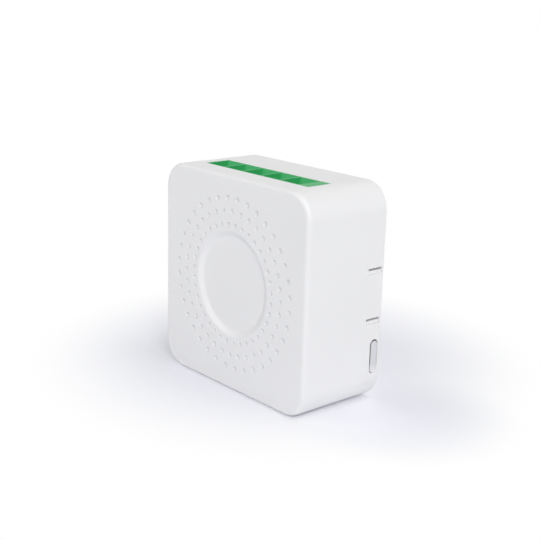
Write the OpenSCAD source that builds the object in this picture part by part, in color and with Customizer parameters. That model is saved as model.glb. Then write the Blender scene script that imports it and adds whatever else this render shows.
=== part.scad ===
// In-wall smart relay module: a square snap-together case with a dimpled dial on its front,
// a screw terminal block behind the top opening and a push button low on its right side.
// Millimetres. X runs across the front, Y from the front to the back, Z up. The module stands on
// its lower wall, with the origin at the centre of that wall. Depths are counted back from the front face.

/* [Case] */
// Width across the front
case_w = 39.2; // [37:0.1:48]
// Height
case_h = 39.2; // [37:0.1:48]
// Depth from the front face to the back cover
case_d = 18; // [17.5:0.1:24]
// Radius of the four upright corners
corner_r = 4.8; // [3.5:0.1:6]
// Radius of the rounded front edge
front_edge_r = 0.8; // [0.3:0.1:1.4]
// Thickness of the side walls
wall_t = 2; // [1.8:0.1:2.4]
// Thickness of the thinner wall round the back cover
rim_t = 1.5; // [1.2:0.1:1.7]
// Thickness of the front wall
front_t = 1.6; // [1.3:0.1:2]

/* [Front dial] */
// Height of the dial's centre above the middle of the face
dial_rise = 0.17; // [0:0.01:0.3]
// Radius of the dished centre at the face
dish_r = 9.55; // [8:0.05:10]
// Width of the dish's sloping wall
dish_slope_w = 0.9; // [0.6:0.05:1.6]
// Depth of the dish
dish_depth = 0.6; // [0.3:0.05:0.8]
// Rounding where the slope meets the face and the floor
dish_soft_r = 0.6; // [0.4:0.1:1]
// Rings of dimples
ring_count = 3; // [1:1:3]
// Dimples in each ring
ring_dimples = 36; // [24:1:40]
// Radius of the innermost ring
ring_r = 10.8; // [10.6:0.1:11.5]
// Distance from ring to ring
ring_pitch = 2.35; // [1.8:0.05:2.5]
// Dimple diameter in the innermost ring
dimple_d = 0.85; // [0.5:0.05:1]
// Gain in dimple diameter from ring to ring
dimple_gain = 0.1; // [0:0.05:0.2]
// Depth of a dimple
dimple_depth = 0.26; // [0.1:0.02:0.3]

/* [Snap tongues] */
// Width of the tongue in each side wall
tongue_w = 7.95; // [5:0.05:10]
// Width of the slot on either side of a tongue
slot_w = 1.1; // [0.8:0.1:1.6]
// Strip of wall left between a slot and the back edge
slot_strip = 0.35; // [0.3:0.05:0.6]
// Length of the slots from the back edge
slot_len = 3.65; // [2.8:0.05:5]
// How far the cover's hook lies below the wall's face
hook_recess = 0.15; // [0.1:0.05:0.4]
// Gap between the hook and the slot's upper edge
hook_gap = 0.4; // [0.2:0.05:0.5]
// Gap between the hook and the slot's ends
hook_end_gap = 0.08; // [0.05:0.01:0.2]
// Radius of the snap nib along the cover's edge
nib_r = 0.3; // [0.2:0.05:0.4]
// Length of the snap nib
nib_len = 6; // [3:0.1:7]

/* [Back cover] */
// Thickness of the cover
cover_t = 1.5; // [1.2:0.1:1.7]
// Gap between the cover's edge and the rim
cover_gap = 0.12; // [0.05:0.01:0.2]
// Height of the rib under the cover
cover_rib_h = 1.2; // [0.6:0.1:1.5]
// Thickness of that rib
cover_rib_t = 0.9; // [0.6:0.1:1.2]
// Diameter of a screwdriver hole
driver_hole_d = 3.6; // [3.2:0.1:3.8]
// Width of the countersink round a screwdriver hole
driver_sink = 0.3; // [0.1:0.05:0.4]

/* [Terminal block] */
// Wire poles
poles = 5; // [2:1:5]
// Distance from pole to pole
pole_pitch = 5; // [4.8:0.01:5.08]
// Offset of the block from the centre of the opening
block_shift = -1.1; // [-1.4:0.1:0]
// Length of the opening in the top wall
opening_w = 27.8; // [26.8:0.1:28]
// Offset of the opening from the middle of the top wall
opening_shift = 0.4; // [0:0.1:0.6]
// Width of the opening from front to back
opening_d = 5.5; // [5:0.1:5.6]
// Depth of the opening's centre line
opening_depth = 7.1; // [7.1:0.05:8]
// Gap round the block's nose in the opening
nose_fit = 0.08; // [0.06:0.01:0.15]
// Gap between the block's body and the walls round it
nose_gap = 0.2; // [0.1:0.05:0.3]
// How far the nose lies below the top face
nose_recess = 0.05; // [0:0.05:0.3]
// How far the block's body reaches past the opening's ends
block_over = 0.5; // [0.3:0.1:0.6]
// Height of the block's body below the top wall
block_len = 8.7; // [8.6:0.1:9.2]
// Bevel on the block's inner corner
block_bevel = 2.6; // [1:0.1:3]
// Gap between the nose's right end and the opening
nose_end_gap = 0.3; // [0.1:0.05:0.6]
// Width of a wire funnel's mouth
mouth_w = 4.6; // [4:0.1:4.7]
// Depth of the mouth from front to back
mouth_d = 4.7; // [4.3:0.1:4.9]
// Length of the mouth's straight side walls
mouth_len = 1.5; // [1:0.1:1.6]
// Height of the ramp that leads in from the mouth's back edge
ramp_len = 1.4; // [1:0.1:1.6]
// Width of the throat that the wire passes
throat_w = 2.6; // [2:0.1:2.8]
// Depth of the throat from front to back
throat_d = 2.7; // [2.6:0.1:3.4]
// Length of the funnel's sloping part
funnel_len = 0.9; // [0.6:0.1:1.1]

/* [Clamps] */
// Width of a clamp cage
cage_w = 3.5; // [3.45:0.05:3.6]
// Length of a clamp cage along the wire
cage_len = 5; // [4.5:0.1:5]
// Thickness of the cage's sides and floor
cage_t = 0.4; // [0.3:0.05:0.45]
// Height of the cage's window
cage_window = 4.2; // [4:0.1:4.3]
// Thickness of the cage's threaded top
cage_top_t = 1.4; // [1.2:0.1:1.5]
// Height of the open cage above the board
cage_lift = 0.5; // [0.3:0.1:0.6]
// Travel of the cage from open to clamped
cage_travel = 2.25; // [1.5:0.05:2.25]
// Gap between a cage and its chamber
cage_gap = 0.15; // [0.1:0.01:0.2]
// Diameter of the clamp screw's shank
screw_d = 2.5; // [2:0.1:2.5]
// Radial running gap round the shank
screw_gap = 0.05; // [0.02:0.01:0.08]
// Diameter of the screw's head
head_d = 3.4; // [3:0.1:3.5]
// Height of the head
head_h = 1.7; // [1.4:0.1:1.8]
// Radial gap round the head
head_gap = 0.08; // [0.05:0.01:0.1]
// Width of the screwdriver slot
driver_slot_w = 0.6; // [0.5:0.05:0.8]
// Depth of the screwdriver slot
driver_slot_d = 0.8; // [0.5:0.05:0.9]
// Turn of the slot from one screw to the next
driver_slot_turn = 37; // [0:1:90]
// Width of a contact bar
bar_w = 2.2; // [1.6:0.1:2.2]
// Thickness of a contact bar
bar_t = 0.75; // [0.6:0.05:0.8]
// Thickness of a contact's solder tail
tail_t = 0.8; // [0.6:0.1:0.8]
// Width of a contact's solder tail
tail_w = 1; // [0.8:0.1:1.2]

/* [Button] */
// Height of the button hole
button_h = 6.3; // [5:0.1:7]
// Width of the button hole from front to back
button_w = 1.9; // [1.6:0.1:2]
// Height of the hole's centre above the lower wall
button_z = 8.45; // [8:0.05:10]
// Strip of wall left between the hole and the back edge
button_strip = 0.4; // [0.3:0.05:0.6]
// Gap between the button and its hole, were it in the middle
button_gap = 0.19; // [0.14:0.01:0.22]
// How far the button sits below and behind the middle of its hole
button_sag = 0.11; // [0:0.01:0.12]
// How far the button's face lies below the wall
button_recess = 0.05; // [0:0.05:0.4]
// Thickness of the flange behind the wall
flange_t = 0.8; // [0.6:0.1:1]
// Reach of the flange past the hole's ends
flange_over = 0.5; // [0.3:0.05:0.7]
// Travel of the button
button_travel = 0.3; // [0.15:0.05:0.35]

/* [Main board] */
// Thickness of the board
board_t = 1.2; // [1:0.1:1.6]
// Space between the front wall and the board
board_gap = 1.6; // [1.4:0.1:1.8]
// Gap between the board's edge and the walls
board_edge_gap = 0.3; // [0.2:0.05:0.5]
// Diameter of the posts under the board
post_d = 2.6; // [2.2:0.1:3]
// Diameter of the pegs on the posts
peg_d = 1.4; // [1:0.1:1.6]
// Height of a peg above the board
peg_h = 0.4; // [0.2:0.1:0.6]
// Distance of the posts from the walls
post_inset = 1.8; // [1.6:0.1:2.2]
// Radial gap round pegs and leads in the board
hole_gap = 0.1; // [0.05:0.01:0.15]
// Diameter of the round component leads
lead_d = 0.6; // [0.5:0.05:0.7]
// Length of leads left below the board
lead_trim = 0.8; // [0.5:0.1:1]

/* [Relay] */
// Length of the relay
relay_l = 20; // [19:0.1:20.5]
// Width of the relay
relay_w = 15.2; // [14.6:0.1:15.6]
// Height of the relay, where the case is deep enough for it
relay_h = 11; // [10.8:0.1:11.3]
// Gap between the relay and the cover's rib
relay_inset = 0.2; // [0.1:0.05:0.4]
// Wall thickness of the relay's case
relay_wall = 0.7; // [0.5:0.05:0.8]
// Thickness of the relay's base
relay_base_t = 1.5; // [1.2:0.1:1.6]
// Height of the feet under the relay
relay_foot = 0.3; // [0.2:0.05:0.4]
// Gap between the relay's inner pieces
relay_gap = 0.06; // [0.04:0.01:0.08]
// Thickness of the yoke and the armature
iron_t = 0.9; // [0.8:0.05:1]
// Length of the bobbin between yoke and pole, where the relay is long enough for it
bobbin_l = 13; // [11:0.1:13]
// Room in the relay's case for the pole, the armature and its swing
armature_room = 4.4; // [4:0.1:4.5]
// Width of the bobbin's flanges
bobbin_w = 6.8; // [6:0.1:7]
// Thickness of the bobbin's flanges
bobbin_flange_t = 0.8; // [0.6:0.1:1]
// Diameter of the winding
winding_d = 6; // [5:0.1:6.2]
// Diameter of the bobbin's tube
bobbin_tube_d = 4; // [3.8:0.1:4.4]
// Diameter of the iron core
core_d = 2.8; // [2.4:0.1:3]
// Diameter of the pole at the core's end
pole_d = 4.6; // [4:0.1:5]
// Thickness of the pole
pole_t = 0.8; // [0.6:0.1:1]
// Angle of the open armature
armature_open = 5; // [3:0.5:6]
// Radius of the ridge that the armature pivots on
pivot_r = 0.22; // [0.15:0.01:0.25]
// Thickness of the contact spring
spring_t = 0.24; // [0.2:0.02:0.3]
// Diameter of the contacts
contact_d = 2.4; // [2:0.1:2.6]
// Thickness of the moving contact
contact_t = 0.4; // [0.3:0.05:0.5]
// Thickness of the fixed contact's strip
strip_t = 0.5; // [0.4:0.05:0.6]

/* [Radio board and switch] */
// Thickness of the radio board
radio_t = 1; // [0.8:0.1:1.2]
// Height of the radio board
radio_h = 17.6; // [16:0.1:18]
// Distance of the radio board from the right wall's inner face
radio_inset = 4.4; // [4.2:0.1:4.6]
// Width of the radio board's tabs
tab_w = 3; // [2:0.1:4]
// Height of the shield can
shield_h = 8; // [6:0.1:8.5]
// Width of the shield can from front to back
shield_w = 7.4; // [6:0.1:7.6]
// Thickness of the shield can
shield_t = 1.8; // [1.4:0.1:2]
// Thickness of the shield's sheet
shield_sheet = 0.2; // [0.15:0.05:0.3]
// Edge length of the radio chip
chip_w = 4; // [3:0.1:5]
// Thickness of the radio chip
chip_t = 0.8; // [0.6:0.1:0.9]
// Width of the aerial's strip
aerial_w = 0.5; // [0.4:0.05:0.6]
// Thickness of the aerial's strip
aerial_t = 0.1; // [0.05:0.05:0.2]
// Bends in the aerial
aerial_bends = 4; // [2:1:4]
// Length of the switch body
switch_l = 6; // [5:0.1:6]
// Width of the switch body
switch_w = 2.8; // [2.5:0.1:3]
// Thickness of the switch body
switch_t = 2; // [1.8:0.1:2.2]
// Diameter of the switch plunger
plunger_d = 1.6; // [1.2:0.1:1.8]
// Height of the plunger above the switch body
plunger_h = 0.6; // [0.5:0.05:0.7]
// Radial gap round the plunger
plunger_gap = 0.08; // [0.05:0.01:0.1]
// Length of the status light
light_l = 1.6; // [1.2:0.1:2]
// Width of the status light
light_w = 0.8; // [0.6:0.1:1]
// Thickness of the status light
light_t = 0.7; // [0.5:0.1:0.8]

/* [Supply] */
// Gap between neighbouring parts on the board
part_gap = 1; // [0.5:0.1:1.1]
// Least gap between the tall parts and the back cover
cover_room = 0.5; // [0.3:0.1:0.7]
// Least gap on either side of the parts between relay and radio board
column_gap = 0.4; // [0.2:0.1:0.45]
// Diameter of the two bulk capacitors
bulk_d = 6.3; // [5:0.1:6.5]
// Height of the two bulk capacitors
bulk_h = 10.5; // [9:0.1:11]
// Diameter of the output capacitor
output_d = 5; // [4:0.1:5.5]
// Height of the output capacitor
output_h = 8; // [6:0.1:11]
// Distance between a capacitor's leads
cap_pitch = 2.5; // [2:0.1:3]
// Depth of the crimp groove round a capacitor's can
crimp = 0.3; // [0.2:0.05:0.4]
// Length of the film capacitor
film_l = 7; // [6:0.1:7.2]
// Width of the film capacitor
film_w = 3.6; // [3:0.1:4]
// Height of the film capacitor
film_h = 7; // [6:0.1:9]
// Distance between the film capacitor's leads
film_pitch = 5; // [4:0.1:5.5]
// Diameter of the varistor's disc
varistor_d = 7.5; // [6:0.1:7.8]
// Thickness of the varistor's disc
varistor_t = 3.4; // [3:0.1:4]
// Length of the varistor's legs above the board
varistor_leg = 1; // [0.6:0.1:1.4]
// Diameter of the inductor
inductor_d = 6; // [5:0.1:6.4]
// Height of the inductor
inductor_h = 7.5; // [6:0.1:9]
// Thickness of the inductor's end discs
inductor_disc = 1.2; // [1:0.1:1.5]
// Diameter of the inductor's waist
inductor_waist = 3; // [2.6:0.1:3.4]
// Diameter of the fusible resistor
fuse_d = 3; // [2.6:0.1:3.2]
// Length of the fusible resistor
fuse_l = 5.4; // [5:0.1:5.6]
// Distance between the resistor's leads
fuse_pitch = 7; // [6.6:0.1:7.2]
// Thickness of the flat chips under the board
flat_t = 1.1; // [0.9:0.05:1.2]
// Length of the bridge rectifier
bridge_l = 4.8; // [4:0.1:5]
// Width of the bridge rectifier
bridge_w = 4; // [3.6:0.1:4.2]
// Length of the supply chip
supply_l = 4.9; // [4.5:0.1:5.2]
// Width of the supply chip
supply_w = 3.9; // [3.6:0.1:4.2]
// Length of the relay driver
driver_l = 2.9; // [2.6:0.1:3.2]
// Width of the relay driver
driver_w = 1.4; // [1.2:0.1:1.6]
// Length of the flyback diode
diode_l = 2.8; // [2.4:0.1:3]
// Width of the flyback diode
diode_w = 1.8; // [1.5:0.1:2]
// Thickness of the flat chips' legs
leg_t = 0.2; // [0.15:0.05:0.3]
// Width of the flat chips' legs
leg_w = 0.5; // [0.4:0.05:0.6]
// Reach of the flat chips' legs
leg_l = 0.9; // [0.7:0.1:1.1]

/* [Hidden] */
$fn = 64;
// Overlap that lets a cut run clear of a face
eps = 0.5;
// Overlap that joins two shapes of one piece
weld = 0.2;

// Case
mid_z = case_h / 2;
dial_z = mid_z + dial_rise;
inner_x = case_w / 2 - wall_t;
rim_x = case_w / 2 - rim_t;
top_z = case_h - wall_t;
cover_at = case_d - cover_t;
cover_x = rim_x - cover_gap;
cover_z = mid_z - rim_t - cover_gap;
nib_at = cover_at + cover_t / 2;

// Main board
board_front = front_t + board_gap;
board_back = board_front + board_t;
board_w = case_w - 2 * (wall_t + board_edge_gap);
board_h = case_h - 2 * (wall_t + board_edge_gap);
lead_end = board_front - lead_trim;
post_x = inner_x - post_inset;
post_low = wall_t + post_inset;
post_high = top_z - wall_t - post_inset;
posts = [[-post_x, post_low], [post_x, post_low], [-post_x, post_high], [post_x, post_high]];
pegs = [for (i = [1 : 3]) posts[i]];

// Terminal block
pole_xs = [for (k = [0 : poles - 1]) opening_shift + block_shift + (k - (poles - 1) / 2) * pole_pitch];
opening_left = opening_shift - opening_w / 2;
opening_right = opening_shift + opening_w / 2;
opening_front = opening_depth - opening_d / 2;
opening_back = opening_front + opening_d;
nose_front = max(opening_front + nose_fit, board_back);
nose_back = opening_back - nose_fit;
nose_top = case_h - nose_recess;
nose_left = opening_left + nose_fit;
nose_right = opening_right - nose_end_gap;
block_back = cover_at - nose_gap;
block_high = top_z - nose_gap;
block_low = block_high - block_len;
block_left = opening_left - block_over;
block_right = opening_right + block_over;
slope_end = nose_top - mouth_len;
ramp_end = nose_top - ramp_len;
throat_end = slope_end - funnel_len;
chamber_high = throat_end - cage_t;
cage_high = chamber_high - 2 * cage_gap;
cage_low = cage_high - cage_len;
screw_z = (cage_high + cage_low) / 2;
tail_high = cage_low - cage_gap;
tail_low = tail_high - tail_t;
chamber_low = tail_low - cage_gap;

// Clamps, at the open end of their travel
cage_front = board_back + cage_lift;
cage_back = cage_front + cage_t + cage_window + cage_top_t;
bar_back = cage_front + cage_t + cage_window - cage_gap / 2;
bar_front = bar_back - bar_t;
shank_front = bar_back + cage_gap;
chamber_back = cage_back + cage_travel + cage_gap;
web_t = 2 * cage_gap;
head_front = chamber_back + web_t + head_gap;
head_back = head_front + head_h;
throat_depth = cage_front + cage_t + throat_d / 2;

// Button and tact switch
button_back = case_d - button_strip;
button_depth = button_back - button_w / 2;
flange_x = inner_x - button_gap / 2;
flange_back = button_back - button_gap;
switch_back = cover_at - nose_gap;
switch_depth = switch_back - switch_w / 2;
flange_front = switch_depth - button_w / 2;
radio_x = inner_x - radio_inset;
switch_x = radio_x + switch_t;
plunger_x = switch_x + plunger_h;

// Radio board
radio_low = post_low - peg_d / 2;
radio_back = cover_at - nose_gap;
radio_tab_zs = [radio_low + tab_w, radio_low + radio_h - tab_w];
shield_front = board_back + cage_lift;
shield_deep = min(shield_w, switch_back - switch_w - part_gap - shield_front);
shield_low = button_z - shield_h / 2;
aerial_low = shield_low + shield_h + aerial_w;

// Relay
rib_reach = cover_gap + cover_rib_t + relay_inset;
relay_x = -inner_x + rib_reach;
relay_z = wall_t + rib_reach;
relay_front = board_back + relay_foot;
relay_back = min(relay_front + relay_h, cover_at - cover_room);
base_back = relay_front + relay_base_t;
yoke_x = relay_x + relay_wall + relay_gap;
yoke_back = relay_back - relay_wall - 2 * relay_gap;
yoke_front = yoke_back - iron_t;
bobbin_x = yoke_x + iron_t + relay_gap;
bobbin_end = min(bobbin_x + bobbin_l, relay_x + relay_l - relay_wall - armature_room);
bobbin_back = yoke_front - relay_gap;
coil_depth = (base_back + bobbin_back) / 2;
coil_d = min(winding_d, bobbin_back - base_back - 2 * relay_gap);
coil_z = relay_z + relay_wall + relay_gap + bobbin_w / 2 + iron_t;
pole_x = bobbin_end + relay_gap + pole_t;
armature_x = pole_x + relay_gap;
armature_front = base_back + iron_t;
armature_w = bobbin_w - iron_t;
pivot_depth = yoke_front + iron_t / 2;
spring_x = armature_x + iron_t;
contact_z = coil_z + bobbin_w / 2 + contact_d;
contact_depth = armature_front + contact_d / 2;
contact_x = spring_x - contact_t;
relay_pins = [
    [yoke_x + iron_t, coil_z - bobbin_w / 2 + lead_d],
    [yoke_x + iron_t, coil_z + bobbin_w / 2 - lead_d],
    [relay_x + relay_l - 2 * iron_t, coil_z],
    [relay_x + relay_l - 2 * iron_t, contact_z],
];

// Supply
supply_row_z = block_low - cage_gap - bulk_d / 2 - board_edge_gap;
bulk_x = -inner_x + rib_reach + bulk_d / 2;
bulk_xs = [bulk_x, bulk_x + bulk_d + part_gap];
inductor_x = bulk_xs[1] + bulk_d / 2 + part_gap + inductor_d / 2;
varistor_x = inductor_x + inductor_d / 2 + part_gap + varistor_d / 2;
bulk_back = min(board_back + bulk_h, cover_at - cover_room);
column_x = (relay_x + relay_l + radio_x - radio_t) / 2;
column_w = radio_x - radio_t - relay_x - relay_l - 2 * column_gap;
film_long = min(film_l, column_w);
film_legs = min(film_pitch, film_long - 2 * lead_d);
fuse_legs = min(fuse_pitch, column_w - lead_d);
fuse_long = min(fuse_l, fuse_legs - 2 * lead_d);
film_z = relay_z + relay_w - film_w / 2;
output_z = film_z - film_w / 2 - part_gap - output_d / 2;
fuse_z = output_z - output_d / 2 - part_gap - fuse_d / 2;
fuse_depth = board_back + board_edge_gap + fuse_d / 2;
flat_back = board_front - leg_t;
bridge_legs = 2;
supply_legs = 4;
driver_legs = 2;
diode_legs = 1;
bridge_at = [bulk_xs[1], mid_z];
supply_at = [-bridge_l, relay_z + relay_w / 2];
driver_at = [-2 * bridge_l, relay_z + relay_w / 4];
diode_at = [-2 * bridge_l, relay_z + relay_w / 2];

// Places where round leads pass the main board
function lead_pair(x, z, pitch) = [[x - pitch / 2, z], [x + pitch / 2, z]];
round_leads = concat(
    lead_pair(bulk_xs[0], supply_row_z, cap_pitch),
    lead_pair(bulk_xs[1], supply_row_z, cap_pitch),
    lead_pair(column_x, output_z, cap_pitch),
    lead_pair(column_x, film_z, film_legs),
    lead_pair(column_x, fuse_z, fuse_legs),
    lead_pair(varistor_x, supply_row_z, film_pitch),
    lead_pair(inductor_x, supply_row_z, cap_pitch),
    relay_pins
);

// A box between two depths
module box(x0, x1, d0, d1, z0, z1) {
    translate([x0, d0 - case_d / 2, z0]) cube([x1 - x0, d1 - d0, z1 - z0]);
}

// A round bar along the depth
module bar_deep(x, z, r, d0, d1) {
    translate([x, d0 - case_d / 2, z]) rotate([-90, 0, 0]) cylinder(r = r, h = d1 - d0);
}

// A round bar across the front
module bar_across(depth, z, r, x0, x1) {
    translate([x0, depth - case_d / 2, z]) rotate([0, 90, 0]) cylinder(r = r, h = x1 - x0);
}

// A flat outline in X and Z, given its thickness along the depth
module slab(d0, d1) {
    translate([0, d1 - case_d / 2, 0]) rotate([90, 0, 0]) linear_extrude(d1 - d0) children();
}

// A flat outline in Z (drawn along x) and depth (drawn along y), given its thickness along X
module plate_across(x0, x1) {
    translate([x0, -case_d / 2, 0]) multmatrix([[0, 0, 1, 0], [0, 1, 0, 0], [-1, 0, 0, 0], [0, 0, 0, 1]])
        linear_extrude(x1 - x0) mirror([1, 0]) children();
}

// A rectangle with round corners, centred
module round_rect(w, h, r) {
    square([w - 2 * r, h], center = true);
    square([w, h - 2 * r], center = true);
    for (sx = [-1, 1], sy = [-1, 1])
        translate([sx * (w / 2 - r), sy * (h / 2 - r)]) circle(r);
}

// A long hole with half-round ends, centred, upright
module obround(w, h) {
    square([w, h - w], center = true);
    for (sy = [-1, 1]) translate([0, sy * (h - w) / 2]) circle(d = w);
}

// Section of the case's edge: reach outwards, depth, with the front corner rounded
module edge_section(reach, depth, r) {
    translate([0, r]) square([reach, depth - r]);
    square([reach - r, depth]);
    translate([reach - r, r]) circle(r);
}

// The case's outer form: four turned corners, four straight edges and the middle
module case_form() {
    flat_w = case_w - 2 * corner_r;
    flat_h = case_h - 2 * corner_r;
    translate([0, -case_d / 2, mid_z]) rotate([-90, 0, 0]) {
        for (mx = [0, 1], my = [0, 1])
            mirror([mx, 0, 0]) mirror([0, my, 0]) translate([flat_w / 2, flat_h / 2, 0])
                rotate_extrude(angle = 90) edge_section(corner_r, case_d, front_edge_r);
        for (mx = [0, 1])
            mirror([mx, 0, 0]) translate([flat_w / 2, flat_h / 2, 0]) rotate([90, 0, 0])
                linear_extrude(flat_h) edge_section(corner_r, case_d, front_edge_r);
        for (my = [0, 1])
            mirror([0, my, 0]) translate([-flat_w / 2, flat_h / 2, 0]) rotate([90, 0, 90])
                linear_extrude(flat_w) edge_section(corner_r, case_d, front_edge_r);
        translate([-flat_w / 2, -flat_h / 2, 0]) cube([flat_w, flat_h, case_d]);
    }
}

// The dish's turned section: an S curve from the face down to the floor
function dish_share(t) = (1 - cos(180 * t)) / 2;
module dish_cut() {
    steps = 12;
    slope = [for (i = [0 : steps]) [
        dish_r + dish_soft_r / 2 - (dish_slope_w + dish_soft_r) * i / steps,
        dish_depth * dish_share(i / steps)
    ]];
    translate([0, -case_d / 2, dial_z]) rotate([-90, 0, 0])
        rotate_extrude() polygon(concat([[0, dish_depth], [0, -eps], [slope[0][0], -eps]], slope));
}

// Rings of shallow round dimples, each ring turned half a step from the last
module dimple_cuts() {
    step = 360 / ring_dimples;
    for (ring = [0 : ring_count - 1]) {
        d = dimple_d + ring * dimple_gain;
        ball_r = (d * d / 4 + dimple_depth * dimple_depth) / (2 * dimple_depth);
        turn = (ring % 2 == 0) ? step / 2 : 0;
        for (i = [0 : ring_dimples - 1])
            translate([0, -case_d / 2, dial_z]) rotate([0, turn + i * step, 0])
                translate([0, dimple_depth - ball_r, ring_r + ring * ring_pitch]) sphere(r = ball_r);
    }
}

// Slots on either side of the snap tongue in one side wall, and the groove for the cover's nib
module tongue_cuts() {
    for (side = [-1, 1])
        translate([0, 0, mid_z + side * (tongue_w + slot_w) / 2])
            box(inner_x - eps, case_w / 2 + eps, case_d - slot_len, case_d - slot_strip,
                -slot_w / 2, slot_w / 2);
    translate([rim_x, nib_at - case_d / 2, mid_z])
        cylinder(r = nib_r + cover_gap, h = nib_len + 2 * cover_gap, center = true);
}

// Post under the board, run into the front wall
module post(at) {
    bar_deep(at[0], at[1], post_d / 2, front_t - weld, board_front);
}

// Peg on a post that locates the board
module peg(at) {
    bar_deep(at[0], at[1], peg_d / 2, board_front - weld, board_back + peg_h);
}

module front_shell() color("whitesmoke") {
    cavity_w = case_w - 2 * wall_t;
    cavity_h = case_h - 2 * wall_t;
    difference() {
        case_form();
        translate([0, 0, mid_z]) slab(front_t, case_d + eps)
            round_rect(cavity_w, cavity_h, corner_r - wall_t);
        translate([0, 0, mid_z]) slab(cover_at, case_d + eps)
            round_rect(case_w - 2 * rim_t, case_h - 2 * rim_t, corner_r - rim_t);
        box(opening_left, opening_right, opening_front, opening_back, top_z - eps, case_h + eps);
        for (mx = [0, 1]) mirror([mx, 0, 0]) tongue_cuts();
        plate_across(inner_x - eps, case_w / 2 + eps)
            translate([button_z, button_depth]) rotate(90) obround(button_w, button_h);
        dish_cut();
        dimple_cuts();
    }
    for (at = posts) post(at);
    for (at = pegs) peg(at);
}

// Hooks of the cover that stand in one side wall's slots, on their lower edges
module slot_hooks() {
    for (side = [-1, 1])
        translate([0, 0, mid_z + side * (tongue_w + slot_w) / 2])
            box(
                inner_x - cover_gap - cover_rib_t / 2, case_w / 2 - hook_recess,
                case_d - slot_len + hook_end_gap, case_d - slot_strip - hook_end_gap,
                -slot_w / 2, slot_w / 2 - hook_gap
            );
}

module back_cover() color("white") {
    rib_w = 2 * (inner_x - cover_gap);
    rib_h = 2 * (mid_z - wall_t - cover_gap);
    rib_r = corner_r - wall_t - cover_gap;
    pocket_h = button_h / 2 + flange_over + button_gap;
    skirt_h = tongue_w + 4 * slot_w;
    difference() {
        union() {
            translate([0, 0, mid_z]) slab(cover_at, case_d)
                round_rect(2 * cover_x, 2 * cover_z, corner_r - rim_t - cover_gap);
            for (mx = [0, 1])
                mirror([mx, 0, 0]) translate([cover_x, nib_at - case_d / 2, mid_z])
                    cylinder(r = nib_r, h = nib_len, center = true);
            difference() {
                translate([0, 0, mid_z]) slab(cover_at - cover_rib_h, cover_at + weld)
                    round_rect(rib_w, rib_h, rib_r);
                translate([0, 0, mid_z]) slab(cover_at - cover_rib_h - eps, cover_at + weld + eps)
                    round_rect(rib_w - 2 * cover_rib_t, rib_h - 2 * cover_rib_t, relay_wall);
                box(block_left - nose_gap, block_right + nose_gap, 0, cover_at, block_low, case_h);
                box(radio_x - radio_t - nose_gap, case_w / 2, 0, cover_at, 0, radio_low + radio_h + nose_gap);
            }
            box(rib_w / 2 - cover_rib_t, rib_w / 2, cover_at - cover_rib_h, cover_at + weld,
                mid_z - skirt_h / 2, mid_z + skirt_h / 2);
            for (mx = [0, 1]) mirror([mx, 0, 0]) slot_hooks();
        }
        box(
            plunger_x - button_travel - button_gap, case_w / 2, cover_at - cover_rib_h - eps, button_back,
            button_z - pocket_h, button_z + pocket_h
        );
        for (x = pole_xs) {
            bar_deep(x, screw_z, driver_hole_d / 2, cover_at - eps, case_d + eps);
            translate([x, case_d / 2 - driver_sink, screw_z]) rotate([-90, 0, 0])
                cylinder(
                    r1 = driver_hole_d / 2, r2 = driver_hole_d / 2 + driver_sink,
                    h = driver_sink + weld / 2
                );
        }
    }
}

// The cap: a stem in the hole, a flange behind the wall and a post that meets the tact switch
module button_cap() color("gainsboro") {
    stem_w = button_w - 2 * button_gap;
    stem_h = button_h - 2 * button_gap;
    middle = button_z - button_sag;
    reach = stem_h / 2 + flange_over;
    plate_across(flange_x - weld, case_w / 2 - button_recess)
        translate([middle, button_depth + button_sag]) rotate(90) obround(stem_w, stem_h);
    box(flange_x - flange_t, flange_x, flange_front, flange_back, middle - reach, middle + reach);
    bar_across(switch_depth, button_z, plunger_d / 2, plunger_x, flange_x - flange_t + weld);
}

module main_board() color("seagreen") {
    difference() {
        translate([0, 0, mid_z]) slab(board_front, board_back)
            round_rect(board_w, board_h, corner_r - wall_t);
        for (at = pegs) bar_deep(at[0], at[1], peg_d / 2 + hole_gap, 0, cover_at);
        for (at = round_leads) bar_deep(at[0], at[1], lead_d / 2 + hole_gap, 0, cover_at);
        for (x = pole_xs)
            box(x - tail_w / 2 - hole_gap, x + tail_w / 2 + hole_gap, 0, cover_at,
                tail_low - hole_gap, tail_high + hole_gap);
        for (z = radio_tab_zs)
            box(radio_x - radio_t - hole_gap, radio_x + hole_gap, 0, cover_at,
                z - tab_w / 2 - hole_gap, z + tab_w / 2 + hole_gap);
    }
}

// A wire funnel: a mouth with a ramp at its back, sloping walls, and the throat that goes on to the clamp
module funnel_cut(x) {
    mouth_high = nose_top + eps;
    mouth_front = opening_depth - mouth_d / 2;
    mouth_back = opening_depth + mouth_d / 2;
    throat_back = throat_depth + throat_d / 2;
    intersection() {
        slab(board_back, cover_at) polygon([
            [x - throat_w / 2, throat_end], [x + throat_w / 2, throat_end],
            [x + mouth_w / 2, slope_end], [x + mouth_w / 2, mouth_high],
            [x - mouth_w / 2, mouth_high], [x - mouth_w / 2, slope_end],
        ]);
        plate_across(x - pole_pitch, x + pole_pitch) polygon([
            [throat_end, throat_depth - throat_d / 2], [throat_end, throat_back], [ramp_end, throat_back],
            [nose_top, mouth_back], [mouth_high, mouth_back],
            [mouth_high, mouth_front], [slope_end, mouth_front],
        ]);
    }
    box(x - throat_w / 2, x + throat_w / 2, throat_depth - throat_d / 2, throat_back,
        chamber_high - weld, throat_end + weld);
}

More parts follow.
